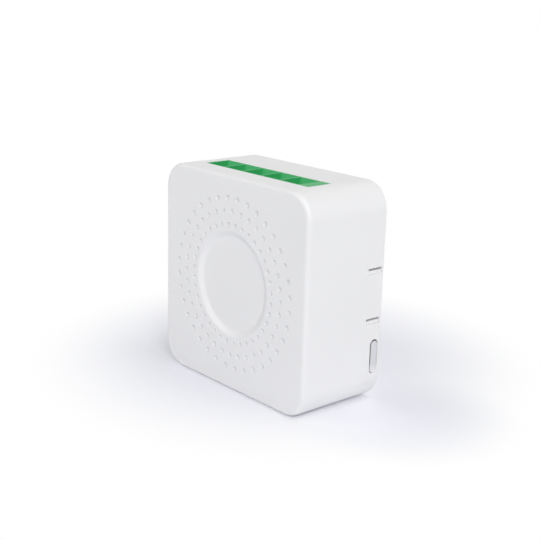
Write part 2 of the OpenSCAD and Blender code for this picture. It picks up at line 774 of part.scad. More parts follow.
module terminal_block() color("mediumseagreen") {
    chamber_w = cage_w + 2 * cage_gap;
    difference() {
        union() {
            plate_across(block_left, block_right) polygon([
                [block_low, board_back], [block_high, board_back], [block_high, block_back],
                [block_low + block_bevel, block_back], [block_low, block_back - block_bevel],
            ]);
            box(nose_left, nose_right, nose_front, nose_back, block_high - weld, nose_top);
        }
        for (x = pole_xs) {
            funnel_cut(x);
            box(x - chamber_w / 2, x + chamber_w / 2, board_back - eps, chamber_back,
                chamber_low, chamber_high);
            bar_deep(x, screw_z, screw_d / 2 + 2 * screw_gap, chamber_back - eps, block_back);
            bar_deep(x, screw_z, head_d / 2 + head_gap, chamber_back + web_t, block_back + eps);
        }
    }
}

// The bar that the wire is clamped against, bent down into the tail that is soldered to the board
module terminal_contacts() color("tan")
    for (x = pole_xs) {
        box(x - bar_w / 2, x + bar_w / 2, bar_front, bar_back, tail_low, cage_high - cage_t);
        box(x - tail_w / 2, x + tail_w / 2, lead_end, bar_back, tail_low, tail_high);
    }

// A cage with its window for the wire, two ridges on its floor and the screw's hole in its top
module clamp_cage(k) color("silver") {
    x = pole_xs[k];
    ridge = cage_t / 2;
    difference() {
        box(x - cage_w / 2, x + cage_w / 2, cage_front, cage_back, cage_low, cage_high);
        box(x - cage_w / 2 + cage_t, x + cage_w / 2 - cage_t, cage_front + cage_t,
            cage_front + cage_t + cage_window, cage_low - eps, cage_high + eps);
        bar_deep(x, screw_z, screw_d / 2 + screw_gap, cage_back - cage_top_t - eps, cage_back + eps);
    }
    for (side = [-1, 1])
        translate([0, 0, screw_z + side * cage_len / 4])
            box(x - cage_w / 2 + cage_t - weld, x + cage_w / 2 - cage_t + weld, cage_front + cage_t - weld,
                cage_front + cage_t + ridge, -ridge, ridge);
}

// A slotted clamp screw with a domed, bevelled head
module terminal_screw(k) color("lightgray") {
    x = pole_xs[k];
    bevel = driver_slot_w / 2;
    translate([x, -case_d / 2, screw_z]) rotate([-90, 0, 0]) difference() {
        rotate_extrude() polygon([
            [0, shank_front], [screw_d / 2 - bevel, shank_front], [screw_d / 2, shank_front + bevel],
            [screw_d / 2, head_front], [head_d / 2, head_front], [head_d / 2, head_back - bevel],
            [head_d / 2 - bevel, head_back], [0, head_back],
        ]);
        rotate(k * driver_slot_turn) translate([0, 0, head_back])
            cube([head_d + eps, driver_slot_w, 2 * driver_slot_d], center = true);
    }
}

module relay_case() color("dimgray")
    difference() {
        translate([relay_x + relay_l / 2, 0, relay_z + relay_w / 2]) slab(relay_front, relay_back)
            round_rect(relay_l, relay_w, relay_wall);
        box(relay_x + relay_wall, relay_x + relay_l - relay_wall, relay_front - eps, relay_back - relay_wall,
            relay_z + relay_wall, relay_z + relay_w - relay_wall);
    }

// The relay's floor, with four feet on the board and holes for the pins
module relay_base() color("slategray")
    difference() {
        union() {
            box(relay_x + relay_wall + relay_gap, relay_x + relay_l - relay_wall - relay_gap, relay_front,
                base_back, relay_z + relay_wall + relay_gap, relay_z + relay_w - relay_wall - relay_gap);
            for (sx = [0, 1], sz = [0, 1])
                bar_deep(relay_x + 2 * relay_wall + iron_t + sx * (relay_l - 4 * relay_wall - 2 * iron_t),
                    relay_z + 2 * relay_wall + iron_t + sz * (relay_w - 4 * relay_wall - 2 * iron_t),
                    iron_t, board_back, relay_front + weld);
        }
        for (at = relay_pins) bar_deep(at[0], at[1], lead_d / 2 + relay_gap, 0, relay_back);
    }

module relay_pins() color("silver")
    for (at = relay_pins) bar_deep(at[0], at[1], lead_d / 2, lead_end, base_back);

module relay_bobbin() color("ivory")
    difference() {
        union() {
            for (x = [bobbin_x, bobbin_end - bobbin_flange_t])
                box(x, x + bobbin_flange_t, base_back, bobbin_back,
                    coil_z - bobbin_w / 2, coil_z + bobbin_w / 2);
            bar_across(coil_depth, coil_z, bobbin_tube_d / 2, bobbin_x, bobbin_end);
        }
        bar_across(coil_depth, coil_z, core_d / 2 + relay_gap, bobbin_x - eps, bobbin_end + eps);
    }

module relay_winding() color("sienna")
    difference() {
        bar_across(coil_depth, coil_z, coil_d / 2, bobbin_x + bobbin_flange_t + relay_gap,
            bobbin_end - bobbin_flange_t - relay_gap);
        bar_across(coil_depth, coil_z, bobbin_tube_d / 2 + relay_gap, bobbin_x, bobbin_end);
    }

module relay_core() color("darkgray") {
    bar_across(coil_depth, coil_z, core_d / 2, yoke_x, pole_x);
    bar_across(coil_depth, coil_z, pole_d / 2, pole_x - pole_t, pole_x);
}

// A round bar along the armature's pivot
module pivot_bar(r, reach) {
    translate([armature_x, pivot_depth - case_d / 2, coil_z - reach / 2]) cylinder(r = r, h = reach);
}

// The bent iron yoke: an end plate that holds the core, and an arm over the coil with a groove in its end
module relay_yoke() color("gray")
    difference() {
        union() {
            box(yoke_x, yoke_x + iron_t, base_back, yoke_back,
                coil_z - armature_w / 2, coil_z + armature_w / 2);
            box(yoke_x, pole_x, yoke_front, yoke_back, coil_z - armature_w / 2, coil_z + armature_w / 2);
        }
        bar_across(coil_depth, coil_z, core_d / 2 + relay_gap, yoke_x - eps, yoke_x + iron_t + eps);
        pivot_bar(pivot_r + relay_gap, armature_w + eps);
    }

// Swings its children out to the open position, about the edge of the yoke's arm
module armature_swing() {
    translate([armature_x, pivot_depth - case_d / 2, 0]) rotate([0, 0, armature_open])
        translate([-armature_x, case_d / 2 - pivot_depth, 0]) children();
}

// The iron plate that the coil pulls, with the round ridge that rocks in the yoke's groove
module relay_armature() color("gray")
    armature_swing() {
        box(armature_x, armature_x + iron_t, armature_front, yoke_back,
            coil_z - armature_w / 2, coil_z + armature_w / 2);
        pivot_bar(pivot_r, armature_w);
    }

// The leaf spring on the armature, with an arm beside the coil that carries the moving contact
module relay_contact_spring() color("peru")
    armature_swing() {
        plate_across(spring_x, spring_x + spring_t) polygon([
            [coil_z - armature_w / 3, armature_front], [contact_z + contact_d / 2, armature_front],
            [contact_z + contact_d / 2, armature_front + contact_d],
            [coil_z + armature_w / 3, armature_front + contact_d], [coil_z + armature_w / 3, yoke_front],
            [coil_z - armature_w / 3, yoke_front],
        ]);
        bar_across(contact_depth, contact_z, contact_d / 2, contact_x, spring_x + weld);
    }

module relay_fixed_contact() color("peru") {
    face = contact_x - relay_gap;
    box(face - contact_t - strip_t, face - contact_t, base_back, contact_depth + contact_d / 2 + contact_t,
        contact_z - contact_d / 2, contact_z + contact_d / 2);
    bar_across(contact_depth, contact_z, contact_d / 2, face - contact_t - weld, face);
}

// The radio board stands on edge, with two tabs through the main board
module radio_board() color("darkgreen") {
    box(radio_x - radio_t, radio_x, board_back, radio_back, radio_low, radio_low + radio_h);
    for (z = radio_tab_zs)
        box(radio_x - radio_t, radio_x, lead_end, board_back + weld, z - tab_w / 2, z + tab_w / 2);
}

module radio_shield() color("lightgray") {
    bend = 2 * shield_sheet;
    difference() {
        box(radio_x, radio_x + shield_t, shield_front, shield_front + shield_deep,
            shield_low, shield_low + shield_h);
        box(radio_x - eps, radio_x + shield_t - shield_sheet, shield_front + shield_sheet,
            shield_front + shield_deep - shield_sheet,
            shield_low + shield_sheet, shield_low + shield_h - shield_sheet);
        for (i = [1 : 3])
            bar_across(shield_front + shield_deep - 3 * bend, shield_low + i * shield_h / 4, bend,
                radio_x + shield_t - eps, radio_x + shield_t + eps);
    }
}

module radio_chip() color("black") {
    depth = shield_front + shield_deep / 2;
    mid = shield_low + shield_h / 2;
    box(radio_x, radio_x + chip_t, depth - chip_w / 2, depth + chip_w / 2,
        mid - chip_w / 2, mid + chip_w / 2);
}

// A strip that runs to and fro across the upper end of the radio board
module aerial_strip() color("gold") {
    x1 = radio_x + aerial_t;
    near = shield_front + aerial_w;
    far = shield_front + shield_deep - aerial_w;
    for (i = [0 : aerial_bends]) {
        z = aerial_low + 2 * i * aerial_w;
        box(radio_x, x1, near, far, z, z + aerial_w);
        if (i < aerial_bends)
            box(radio_x, x1, i % 2 == 0 ? far - aerial_w : near, i % 2 == 0 ? far : near + aerial_w,
                z, z + 3 * aerial_w);
    }
}

module tact_switch_body() color("dimgray")
    difference() {
        box(radio_x, switch_x, switch_depth - switch_w / 2, switch_back,
            button_z - switch_l / 2, button_z + switch_l / 2);
        bar_across(switch_depth, button_z, plunger_d / 2 + plunger_gap,
            switch_x - plunger_h - button_travel, switch_x + eps);
    }

module tact_switch_plunger() color("ivory")
    bar_across(switch_depth, button_z, plunger_d / 2, switch_x - plunger_h, plunger_x);

module status_light() color("honeydew") {
    z = button_z + switch_l / 2 + light_l;
    box(radio_x, radio_x + light_t / 2, switch_depth - light_w / 2, switch_depth + light_w / 2,
        z - light_l / 2, z + light_l / 2);
    box(radio_x, radio_x + light_t, switch_depth - light_w / 2, switch_depth + light_w / 2,
        z - light_l / 4, z + light_l / 4);
}

// Two round leads down through the main board
module leads(x, z, pitch, depth) {
    for (at = lead_pair(x, z, pitch)) bar_deep(at[0], at[1], lead_d / 2, lead_end, depth);
}

// A can capacitor: a turned can with a crimp groove, a seal and two leads
module can_capacitor(x, z, d, h) {
    groove = board_back + 4 * crimp;
    translate([x, -case_d / 2, z]) rotate([-90, 0, 0]) rotate_extrude() polygon([
        [0, board_back], [d / 2 - crimp, board_back], [d / 2, board_back + crimp],
        [d / 2, groove], [d / 2 - crimp, groove + crimp], [d / 2, groove + 2 * crimp],
        [d / 2, board_back + h - crimp], [d / 2 - crimp, board_back + h],
        [d / 2 - 2 * crimp, board_back + h], [d / 2 - 2 * crimp, board_back + h - crimp / 2],
        [0, board_back + h - crimp / 2],
    ]);
    leads(x, z, cap_pitch, board_back + weld);
}

module bulk_capacitor(k) color("darkslateblue")
    can_capacitor(bulk_xs[k], supply_row_z, bulk_d, bulk_back - board_back);

module output_capacitor() color("darkslateblue") can_capacitor(column_x, output_z, output_d, output_h);

module film_capacitor() color("goldenrod") {
    translate([column_x, 0, film_z]) slab(board_back, board_back + film_h)
        round_rect(film_long, film_w, crimp);
    leads(column_x, film_z, film_legs, board_back + weld);
}

// A dipped disc on two legs
module varistor() color("royalblue") {
    depth = board_back + varistor_leg + varistor_d / 2;
    soft = varistor_t / 4;
    translate([varistor_x, depth - case_d / 2, supply_row_z]) rotate_extrude() polygon([
        [0, -varistor_t / 2], [varistor_d / 2 - soft, -varistor_t / 2],
        [varistor_d / 2, -varistor_t / 2 + soft],
        [varistor_d / 2, varistor_t / 2 - soft], [varistor_d / 2 - soft, varistor_t / 2], [0, varistor_t / 2],
    ]);
    leads(varistor_x, supply_row_z, film_pitch, depth);
}

// A resistor on its side, with flared ends and two bent leads
module fusible_resistor() color("darkseagreen") {
    flare = crimp / 2;
    translate([column_x - fuse_long / 2, fuse_depth - case_d / 2, fuse_z]) rotate([0, 90, 0]) rotate_extrude()
        polygon([
            [0, 0], [fuse_d / 2 - flare, 0], [fuse_d / 2, flare], [fuse_d / 2, fuse_long / 5],
            [fuse_d / 2 - flare, fuse_long / 4], [fuse_d / 2 - flare, fuse_long * 3 / 4],
            [fuse_d / 2, fuse_long * 4 / 5], [fuse_d / 2, fuse_long - flare],
            [fuse_d / 2 - flare, fuse_long], [0, fuse_long],
        ]);
    bar_across(fuse_depth, fuse_z, lead_d / 2, column_x - fuse_legs / 2, column_x + fuse_legs / 2);
    leads(column_x, fuse_z, fuse_legs, fuse_depth);
    for (at = lead_pair(column_x, fuse_z, fuse_legs))
        translate([at[0], fuse_depth - case_d / 2, at[1]]) sphere(d = lead_d);
}

// A ferrite drum with its two leads
module inductor_core() color("darkslategray") {
    translate([inductor_x, -case_d / 2, supply_row_z]) rotate([-90, 0, 0]) rotate_extrude() polygon([
        [0, board_back], [inductor_d / 2, board_back], [inductor_d / 2, board_back + inductor_disc],
        [inductor_waist / 2, board_back + inductor_disc],
        [inductor_waist / 2, board_back + inductor_h - inductor_disc],
        [inductor_d / 2, board_back + inductor_h - inductor_disc], [inductor_d / 2, board_back + inductor_h],
        [0, board_back + inductor_h],
    ]);
    leads(inductor_x, supply_row_z, cap_pitch, board_back + weld);
}

module inductor_winding() color("sienna") {
    outer_r = inductor_d / 2 - crimp;
    difference() {
        bar_deep(inductor_x, supply_row_z, outer_r, board_back + inductor_disc + relay_gap,
            board_back + inductor_h - inductor_disc - relay_gap);
        bar_deep(inductor_x, supply_row_z, inductor_waist / 2 + relay_gap, 0, cover_at);
    }
}

// A flat moulded chip soldered under the board, with legs along two sides
module flat_chip(at, l, w, legs) {
    box(at[0] - l / 2, at[0] + l / 2, board_front - flat_t, flat_back, at[1] - w / 2, at[1] + w / 2);
    for (i = [0 : legs - 1], side = [-1, 1]) {
        x = at[0] + (i - (legs - 1) / 2) * l / legs;
        translate([x, 0, at[1] + side * (w / 2 + leg_l / 2)]) {
            box(-leg_w / 2, leg_w / 2, flat_back, board_front, -leg_l / 2, leg_l / 2);
            translate([0, 0, -side * leg_l / 2])
                box(-leg_w / 2, leg_w / 2, flat_back - flat_t / 2, board_front, -leg_t, leg_t);
        }
    }
}

module bridge_rectifier() color("black") flat_chip(bridge_at, bridge_l, bridge_w, bridge_legs);

module supply_chip() color("black") flat_chip(supply_at, supply_l, supply_w, supply_legs);

module relay_driver() color("black") flat_chip(driver_at, driver_l, driver_w, driver_legs);

module flyback_diode() color("black") flat_chip(diode_at, diode_l, diode_w, diode_legs);

front_shell();
back_cover();
button_cap();
main_board();
terminal_block();
terminal_contacts();
clamp_cage(0);  // clamp_cage_1
clamp_cage(1);  // clamp_cage_2
clamp_cage(2);  // clamp_cage_3
clamp_cage(3);  // clamp_cage_4
clamp_cage(4);  // clamp_cage_5
terminal_screw(0);  // terminal_screw_1
terminal_screw(1);  // terminal_screw_2
terminal_screw(2);  // terminal_screw_3
terminal_screw(3);  // terminal_screw_4
terminal_screw(4);  // terminal_screw_5
relay_case();
relay_base();
relay_pins();
relay_bobbin();
relay_winding();
relay_core();
relay_yoke();
relay_armature();
relay_contact_spring();
relay_fixed_contact();
radio_board();
radio_shield();
radio_chip();
aerial_strip();
tact_switch_body();
tact_switch_plunger();
status_light();
bulk_capacitor(0);  // bulk_capacitor_1
bulk_capacitor(1);  // bulk_capacitor_2
output_capacitor();
film_capacitor();
varistor();
fusible_resistor();
inductor_core();
inductor_winding();
bridge_rectifier();
supply_chip();
relay_driver();
flyback_diode();
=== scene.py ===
"""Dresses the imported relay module: softened mouldings, finishes, studio and camera."""

from math import cos, radians, sin

import bmesh
import bpy
from mathutils import Matrix, Vector


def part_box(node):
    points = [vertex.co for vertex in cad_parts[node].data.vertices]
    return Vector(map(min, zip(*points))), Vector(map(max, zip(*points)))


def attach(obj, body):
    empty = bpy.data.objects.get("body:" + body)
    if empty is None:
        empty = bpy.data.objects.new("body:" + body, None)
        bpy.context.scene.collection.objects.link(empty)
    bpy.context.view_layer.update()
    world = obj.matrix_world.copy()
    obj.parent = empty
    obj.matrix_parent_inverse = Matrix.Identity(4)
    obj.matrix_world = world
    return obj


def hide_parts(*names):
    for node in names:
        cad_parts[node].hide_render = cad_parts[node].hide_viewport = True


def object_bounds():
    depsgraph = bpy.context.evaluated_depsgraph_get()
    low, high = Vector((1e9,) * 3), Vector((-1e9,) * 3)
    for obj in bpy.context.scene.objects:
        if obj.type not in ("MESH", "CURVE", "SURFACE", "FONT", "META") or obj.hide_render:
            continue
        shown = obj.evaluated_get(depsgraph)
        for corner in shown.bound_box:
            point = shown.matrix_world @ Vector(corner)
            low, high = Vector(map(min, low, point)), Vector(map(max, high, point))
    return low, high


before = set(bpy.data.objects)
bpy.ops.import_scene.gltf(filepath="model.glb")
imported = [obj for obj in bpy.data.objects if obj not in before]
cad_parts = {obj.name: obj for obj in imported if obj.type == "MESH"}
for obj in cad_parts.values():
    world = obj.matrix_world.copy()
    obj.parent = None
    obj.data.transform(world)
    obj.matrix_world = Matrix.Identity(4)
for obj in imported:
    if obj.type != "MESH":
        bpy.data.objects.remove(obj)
cad_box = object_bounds()

MM = 0.001
EVEN = (1.0, 1.0, 1.0)


# Shader maths

class Value:
    """A shader socket that takes part in sums: each operator adds one Math node."""

    def __init__(self, finish, socket):
        self.finish = finish
        self.socket = socket

    def maths(self, operation, first, second):
        return self.finish.node("ShaderNodeMath", {"operation": operation}, {0: first, 1: second})

    def __add__(self, other):
        return self.maths("ADD", self, other)

    def __radd__(self, other):
        return self.maths("ADD", other, self)

    def __sub__(self, other):
        return self.maths("SUBTRACT", self, other)

    def __rsub__(self, other):
        return self.maths("SUBTRACT", other, self)

    def __mul__(self, other):
        return self.maths("MULTIPLY", self, other)

    def __rmul__(self, other):
        return self.maths("MULTIPLY", other, self)

    def __pow__(self, other):
        return self.maths("POWER", self, other)

    def __abs__(self):
        return self.finish.node("ShaderNodeMath", {"operation": "ABSOLUTE"}, {0: self})


class Finish:
    """A node material that is put together from Python expressions."""

    def __init__(self, name):
        self.material = bpy.data.materials.new(name)
        self.material.use_nodes = True
        self.tree = self.material.node_tree
        self.tree.nodes.clear()

    def node(self, kind, settings=None, sockets=None, out=0):
        """Any node: its type, its settings, then the values or links of its sockets."""
        made = self.tree.nodes.new(kind)
        for name, setting in (settings or {}).items():
            setattr(made, name, setting)
        for key, value in (sockets or {}).items():
            if isinstance(value, Value):
                self.tree.links.new(value.socket, made.inputs[key])
            else:
                made.inputs[key].default_value = value
        return Value(self, made.outputs[out]) if made.outputs else None

    def here(self):
        """Object coordinates in metres."""
        return self.node("ShaderNodeTexCoord", out="Object")

    def along(self, place, axes):
        """A place's coordinates along the named axes."""
        return [self.node("ShaderNodeSeparateXYZ", None, {0: place}, out=axis) for axis in axes]

    def place(self, squeeze=EVEN):
        """Object coordinates, squeezed along an axis for a directional pattern."""
        return self.node("ShaderNodeMapping", None, {"Vector": self.here(), "Scale": squeeze})

    def noise(self, place, per_metre, detail=3.0, rough=0.5):
        return self.node("ShaderNodeTexNoise", None,
                         {"Vector": place, "Scale": per_metre, "Detail": detail, "Roughness": rough})

    def steps(self, value, low, high):
        """Value eased from 0 at low to 1 at high."""
        return self.node("ShaderNodeMapRange", {"interpolation_type": "SMOOTHSTEP"},
                         {"Value": value, "From Min": low, "From Max": high})

    def mix(self, share, first, second):
        """Two colours, mixed by a share that may vary."""
        return self.node("ShaderNodeMix", {"data_type": "RGBA"}, {0: share, 6: first, 7: second}, out=2)

    def bump(self, height, depth):
        """Normals bent by a height from 0 to 1 that stands for a depth in metres."""
        return self.node("ShaderNodeBump", None, {"Height": height, "Distance": depth})

    def show(self, shader):
        self.node("ShaderNodeOutputMaterial", None, {"Surface": shader})
        return self.material

    def surface(self, **sockets):
        """Ends the finish in a Principled shader; socket names have _ for a space."""
        named = {name.replace("_", " "): value for name, value in sockets.items()}
        return self.show(self.node("ShaderNodeBsdfPrincipled", None, named))


def rgb(red, green, blue):
    return (red, green, blue, 1.0)


# Finishes. Patterns are given in features per metre, and MEAN is a noise's middle value.

MEAN = 0.5

FACE_Y = -9.0 * MM
DIAL_Z = 19.77 * MM
RINGS_FROM, RINGS_TO = 10.2 * MM, 16.4 * MM
RINGS_FADE_IN, RINGS_FADE_OUT = 0.1 * MM, 1.0 * MM
SUNK_FROM, SUNK_TO = 0.01 * MM, 0.06 * MM
HOLLOW_DEPTH, HOLLOW_FADE = 0.4 * MM, 0.1 * MM
# Painted shade: the grey put into the dimples round the dial.
DIMPLE_PAINTED_SHADE = rgb(0.715, 0.715, 0.725)
PIN_POLISH = 0.24


def dimple_shade_and_polish(f, base):
    """Paints shade into the dimples round the dial by greying them; the mould's polished pins leave them
    glossier.
    """
    across, deep, high = f.along(f.here(), "XYZ")
    above = high - DIAL_Z
    from_dial = (across * across + above * above) ** 0.5
    in_rings = (f.steps(from_dial, RINGS_FROM - RINGS_FADE_IN, RINGS_FROM)
                - f.steps(from_dial, RINGS_TO, RINGS_TO + RINGS_FADE_OUT))
    sunk = deep - FACE_Y
    in_hollow = f.steps(sunk, SUNK_FROM, SUNK_TO) - f.steps(sunk, HOLLOW_DEPTH, HOLLOW_DEPTH + HOLLOW_FADE)
    dimple = in_rings * in_hollow
    return f.mix(dimple, base, DIMPLE_PAINTED_SHADE), dimple * PIN_POLISH


CAP_FROM, CAP_TO = 5.2 * MM, 7.3 * MM
# Painted light: the paler lower end of the cap's face.
CAP_PAINTED_LIGHT = rgb(0.80, 0.80, 0.815)
CAP_EDGE, CAP_EDGE_FADE = 19.49 * MM, 0.1 * MM
FLANK_FROM, FLANK_TO = 6.3 * MM, 7.6 * MM
# Painted shade: the dark flank, standing in for the shadow in the gap round the cap.
FLANK_PAINTED_SHADE = rgb(0.10, 0.10, 0.11)


def button_painted_light_shade(f, base):
    """Paints light and shade on the cap: its face is paler towards its lower end and darker above, and its
    flank gets a dark painted shadow towards the top.
    """
    across, high = f.along(f.here(), "XZ")
    face = f.mix(f.steps(high, CAP_FROM, CAP_TO), CAP_PAINTED_LIGHT, base)
    flank = f.mix(f.steps(high, FLANK_FROM, FLANK_TO), face, FLANK_PAINTED_SHADE)
    return f.mix(f.steps(across, CAP_EDGE - CAP_EDGE_FADE, CAP_EDGE), flank, face), 0.0


GRAIN, GRAIN_DEPTH = 3200.0, 0.012 * MM
FLOW = 85.0
SPECK_SIZE, SPECK_FROM, SPECK_TO = 0.55, 0.62, 0.78
GRAIN_ROUGH, FLOW_ROUGH, SPECK_GLOSS = 0.12, 0.08, 0.05
GRAIN_SHARE, SPECK_SHARE = 0.7, 0.3


def moulded(name, colour, flow, roughness, grain=GRAIN, depth=GRAIN_DEPTH, tone=None, **fixed):
    """Moulded plastic: spark-eroded grain, and tone that drifts with the flow in the mould."""
    f = Finish(name)
    here = f.place()
    fine = f.noise(here, grain, detail=2.0)
    drift = f.noise(here, FLOW, detail=2.0)
    specks = f.steps(f.noise(here, grain * SPECK_SIZE, detail=1.0), SPECK_FROM, SPECK_TO)
    base, polish = f.mix(drift, colour, flow), 0.0
    # A tone may mix painted light and shade into the colour, and its polish lowers the roughness.
    if tone:
        base, polish = tone(f, base)
    uneven = roughness + (fine - MEAN) * GRAIN_ROUGH + (drift - MEAN) * FLOW_ROUGH
    return f.surface(Base_Color=base, Roughness=uneven - specks * SPECK_GLOSS - polish,
                     Normal=f.bump(fine * GRAIN_SHARE + specks * SPECK_SHARE, depth), **fixed)


ROLLED, ROLLED_DEPTH, ROLLED_ROUGH = 1500.0, 0.006 * MM, 0.14
TARNISH, TARNISH_FROM, TARNISH_TO = 420.0, 0.48, 0.72
TARNISH_SHARE, TARNISH_ROUGH = 0.7, 0.16


def plated(name, colour, tarnish, roughness, lay):
    """Plated metal: fine lines along the rolling direction and a patchy tarnish."""
    f = Finish(name)
    lines = f.noise(f.place(lay), ROLLED)
    dull = f.steps(f.noise(f.place(), TARNISH, detail=4.0, rough=0.6), TARNISH_FROM, TARNISH_TO)
    return f.surface(Base_Color=f.mix(dull * TARNISH_SHARE, colour, tarnish), Metallic=1.0,
                     Roughness=roughness + dull * TARNISH_ROUGH + (lines - MEAN) * ROLLED_ROUGH,
                     Normal=f.bump(lines, ROLLED_DEPTH))


WEAVE, WEAVE_SHARE, WEAVE_ROUGH = 620.0, 0.3, 0.1
FIELDS, FIELD_FROM, FIELD_TO = 260.0, 0.5, 0.56
COPPER_SHARE, FIELD_ROUGH = 0.7, 0.06
MASK_DEPTH, MASK_ROUGH, MASK_COAT = 0.02 * MM, 0.34, 0.3


def laminate(name, mask, copper_under):
    """A circuit board: solder mask over a glass weave, with paler fields where copper lies under it."""
    f = Finish(name)
    here = f.place()
    warp, weft = (f.node("ShaderNodeTexWave", {"bands_direction": way}, {"Vector": here, "Scale": WEAVE})
                  for way in "XZ")
    weave = warp * weft
    cells = f.node("ShaderNodeTexVoronoi", {"distance": "CHEBYCHEV"}, {"Vector": here, "Scale": FIELDS})
    field = f.steps(cells, FIELD_FROM, FIELD_TO)
    return f.surface(Base_Color=f.mix(field, copper_under, mask), Coat_Weight=MASK_COAT,
                     Roughness=MASK_ROUGH + weave * WEAVE_ROUGH + field * FIELD_ROUGH,
                     Normal=f.bump(weave * WEAVE_SHARE + (1 - field) * COPPER_SHARE, MASK_DEPTH))


TURNS, TURN_DEPTH, TURN_LAY = 5200.0, 0.008 * MM, (1.0, 0.2, 0.2)
TURN_SHARE, TURN_ROUGH = 0.6, 0.16
AGE, AGE_SHARE, AGE_METAL = 300.0, 0.4, 0.2
LACQUER_ROUGH, LACQUER_COAT, WIRE_METAL = 0.24, 0.5, 0.65


def wound(name, wire, shade):
    """Enamelled wire: glossy lacquer whose tone changes a little from turn to turn."""
    f = Finish(name)
    turns = f.noise(f.place(TURN_LAY), TURNS, detail=1.0)
    age = f.noise(f.place(), AGE)
    return f.surface(Base_Color=f.mix(turns * TURN_SHARE + age * AGE_SHARE, shade, wire),
                     Roughness=LACQUER_ROUGH + turns * TURN_ROUGH, Metallic=WIRE_METAL + age * AGE_METAL,
                     Coat_Weight=LACQUER_COAT, Normal=f.bump(turns, TURN_DEPTH))


PEEL, PEEL_SHARE, PEEL_ROUGH = 1300.0, 0.6, 0.2
RUNS, RUN_SHARE, RUN_LAY = 330.0, 0.4, (1.0, 0.35, 1.0)
THIN_FROM, THIN_TO = 0.45, 0.75
DIP_DEPTH, DIP_COAT = 0.03 * MM, 0.4


def dipped(name, colour, thin, roughness):
    """A dipped or lacquered coat: orange peel, and paler where the coat runs thin."""
    f = Finish(name)
    peel = f.noise(f.place(), PEEL, detail=2.0)
    runs = f.noise(f.place(RUN_LAY), RUNS)
    return f.surface(Base_Color=f.mix(f.steps(runs, THIN_FROM, THIN_TO), colour, thin),
                     Roughness=roughness + (peel - MEAN) * PEEL_ROUGH, Coat_Weight=DIP_COAT,
                     Normal=f.bump(peel * PEEL_SHARE + runs * RUN_SHARE, DIP_DEPTH))


PRESSED, PRESSED_DEPTH, PRESSED_SHARE = 4200.0, 0.02 * MM, 0.6
PRESSED_MEAN, PRESSED_ROUGH, FERRITE_ROUGH = 0.4, 0.3, 0.6
CLOUD, CLOUD_SHARE = 500.0, 0.4


def sintered(name, colour, grain_colour):
    """Ferrite: pressed grains with a dull sheen."""
    f = Finish(name)
    grains = f.node("ShaderNodeTexVoronoi", None, {"Vector": f.place(), "Scale": PRESSED})
    cloud = f.noise(f.place(), CLOUD, detail=4.0)
    return f.surface(Base_Color=f.mix(grains * PRESSED_SHARE + cloud * CLOUD_SHARE, colour, grain_colour),
                     Roughness=FERRITE_ROUGH + (grains - PRESSED_MEAN) * PRESSED_ROUGH,
                     Normal=f.bump(grains, PRESSED_DEPTH))


BANDS, BAND_LAY, BAND_ROUGH = 240.0, (1.0, 9.0, 1.0), 0.14
CREASES, CREASE_LAY, CREASE_ROUGH = 1700.0, (1.0, 0.25, 1.0), 0.1
CREASE_FROM, CREASE_TO, CREASE_DEPTH = 0.55, 0.8, 0.015 * MM
FILM_ROUGH, FILM_COAT = 0.26, 0.35


def sleeved(name, film, painted_sheen):
    """Heat-shrunk film round a can: stretched glossy bands, painted paler as a sheen, and fine creases."""
    f = Finish(name)
    bands = f.noise(f.place(BAND_LAY), BANDS, detail=2.0)
    creases = f.steps(f.noise(f.place(CREASE_LAY), CREASES, detail=2.0), CREASE_FROM, CREASE_TO)
    # The paler colour of the bands is a painted sheen.
    return f.surface(Base_Color=f.mix(bands, film, painted_sheen), Coat_Weight=FILM_COAT,
                     Roughness=FILM_ROUGH + bands * BAND_ROUGH + creases * CREASE_ROUGH,
                     Normal=f.bump(creases, CREASE_DEPTH))


HAZE, HAZE_DEPTH, HAZE_ROUGH = 2600.0, 0.006 * MM, 0.2
RESIN_ROUGH, RESIN_CLEAR, RESIN_IOR = 0.18, 0.45, 1.5


def resin(name, colour, haze):
    """Clear resin of the status light, cloudy with fine diffuser grains."""
    f = Finish(name)
    cloud = f.noise(f.place(), HAZE, detail=4.0, rough=0.7)
    return f.surface(Base_Color=f.mix(cloud, colour, haze), Roughness=RESIN_ROUGH + cloud * HAZE_ROUGH,
                     Transmission_Weight=RESIN_CLEAR, IOR=RESIN_IOR, Normal=f.bump(cloud, HAZE_DEPTH))


